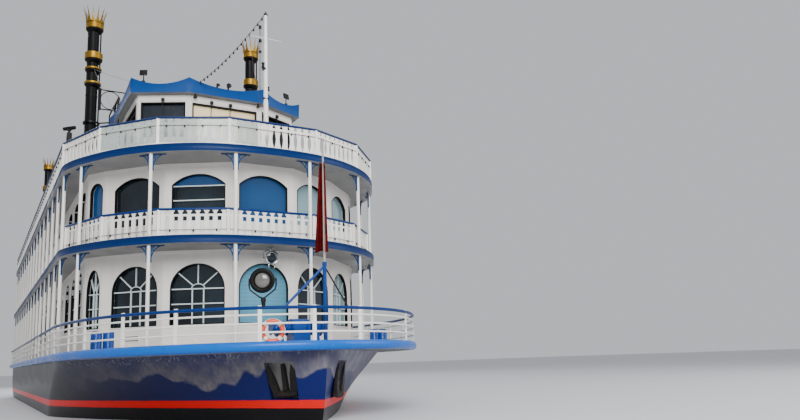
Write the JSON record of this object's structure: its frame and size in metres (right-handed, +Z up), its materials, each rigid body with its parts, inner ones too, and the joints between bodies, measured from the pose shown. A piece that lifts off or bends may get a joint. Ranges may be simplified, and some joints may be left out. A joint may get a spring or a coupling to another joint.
{
  "type": "river tour boat, half-size model",
  "caption": "Stern-wheel river tour boat with two saloon decks, open side galleries, a top deck, a wheelhouse and tall crowned stacks, built as a half-size model.",
  "frame": {"origin": "middle of the hull's flat bottom, under the middle of the overall length", "axes": "+X to the bow, +Y to port, +Z up"},
  "size_m": [23, 6, 10.2251],
  "materials": {
    "white_paint": "satin, slightly yellowed",
    "navy_paint": "satin, with pale stains",
    "blue_paint": "satin",
    "sky_blue_paint": "gloss",
    "black_paint": "satin",
    "grey_paint": "matt",
    "red_paint": "satin",
    "chrome": "polished",
    "orange_plastic": "matt",
    "glass": "clear, dark room behind"
  },
  "bodies": {
    "boat": {"anchor_port": "black_paint", "anchor_starboard": "black_paint", "bitts_port": "sky_blue_paint", "bitts_starboard": "sky_blue_paint", "engine": "grey_paint", "floodlight": "black_paint", "guard": "sky_blue_paint", "hull": "navy_paint", "jackstaff": "blue_paint", "life_ring": "orange_plastic", "lower_aft_wall": "white_paint", "lower_front_wall": "white_paint", "lower_gallery_port": "white_paint", "lower_gallery_starboard": "white_paint", "lower_glazing": "glass", "lower_side_wall_port": "white_paint", "lower_side_wall_starboard": "white_paint", "main_deck": "grey_paint", "main_rail": "white_paint", "mast": "white_paint", "radar_mast": "white_paint", "searchlight": "chrome", "second_deck": "blue_paint", "second_rail": "white_paint", "stack_frame_port": "black_paint", "stack_frame_starboard": "black_paint", "stack_front_port": "black_paint", "stack_front_starboard": "black_paint", "stack_rear_port": "black_paint", "stack_rear_starboard": "black_paint", "stern_staff": "white_paint", "sun_deck": "blue_paint", "top_rail": "white_paint", "upper_aft_wall": "white_paint", "upper_front_wall": "white_paint", "upper_gallery_port": "white_paint", "upper_gallery_starboard": "white_paint", "upper_glazing": "glass", "upper_side_wall_port": "white_paint", "upper_side_wall_starboard": "white_paint", "wheel_beam_port": "blue_paint", "wheel_beam_starboard": "blue_paint", "wheelhouse_back": "white_paint", "wheelhouse_front": "white_paint", "wheelhouse_glazing": "glass", "wheelhouse_roof": "blue_paint", "windlass": "sky_blue_paint"},
    "lower_door_port_body": {"lower_door_port": "white_paint"},
    "lower_door_starboard_body": {"lower_door_starboard": "white_paint"},
    "upper_door_port_body": {"upper_door_port": "white_paint"},
    "upper_door_starboard_body": {"upper_door_starboard": "white_paint"},
    "wheelhouse_door_port_body": {"wheelhouse_door_port": "white_paint"},
    "gate_port_body": {"gate_port": "white_paint"},
    "rudder_port_body": {"rudder_port": "grey_paint"},
    "wheelhouse_door_starboard_body": {"wheelhouse_door_starboard": "white_paint"},
    "gate_starboard_body": {"gate_starboard": "white_paint"},
    "rudder_starboard_body": {"rudder_starboard": "grey_paint"},
    "paddle_wheel_body": {"paddle_wheel": "red_paint"}
  },
  "joints": [
    {"name": "paddle_wheel_spin", "type": "hinge", "parent": "boat", "child": "paddle_wheel_body", "pos_m": [-10.05, 0, 1.78], "axis": [0, 1, 0], "continuous": true},
    {"name": "rudder_port_turn", "type": "hinge", "parent": "boat", "child": "rudder_port_body", "pos_m": [-7.75, 1.1, 0.3], "axis": [0, 0, 1], "range_deg": [-35, 35]},
    {"name": "gate_port_swing", "type": "hinge", "parent": "boat", "child": "gate_port_body", "pos_m": [3.82, 2.95, 1.8803], "axis": [0, 0, -1], "range_deg": [0, 100]},
    {"name": "wheelhouse_door_port_swing", "type": "hinge", "parent": "boat", "child": "wheelhouse_door_port_body", "pos_m": [4.025, 1.592, 5.04], "axis": [0, 0, 1], "range_deg": [0, 95]},
    {"name": "lower_door_port_swing", "type": "hinge", "parent": "boat", "child": "lower_door_port_body", "pos_m": [3.67, 2.462, 1.82], "axis": [0, 0, 1], "range_deg": [0, 90]},
    {"name": "upper_door_port_swing", "type": "hinge", "parent": "boat", "child": "upper_door_port_body", "pos_m": [3.67, 2.462, 3.572], "axis": [0, 0, 1], "range_deg": [0, 90]},
    {"name": "rudder_starboard_turn", "type": "hinge", "parent": "boat", "child": "rudder_starboard_body", "pos_m": [-7.75, -1.1, 0.3], "axis": [0, 0, 1], "range_deg": [-35, 35]},
    {"name": "gate_starboard_swing", "type": "hinge", "parent": "boat", "child": "gate_starboard_body", "pos_m": [3.82, -2.95, 1.8803], "axis": [0, 0, 1], "range_deg": [0, 100]},
    {"name": "wheelhouse_door_starboard_swing", "type": "hinge", "parent": "boat", "child": "wheelhouse_door_starboard_body", "pos_m": [4.025, -1.592, 5.04], "axis": [0, 0, -1], "range_deg": [0, 95]},
    {"name": "lower_door_starboard_swing", "type": "hinge", "parent": "boat", "child": "lower_door_starboard_body", "pos_m": [3.67, -2.462, 1.82], "axis": [0, 0, -1], "range_deg": [0, 90]},
    {"name": "upper_door_starboard_swing", "type": "hinge", "parent": "boat", "child": "upper_door_starboard_body", "pos_m": [3.67, -2.462, 3.572], "axis": [0, 0, -1], "range_deg": [0, 90]}
  ],
  "couplings": [
    {"joint": "rudder_starboard_turn", "follows": "rudder_port_turn", "ratio": 1}
  ]
}
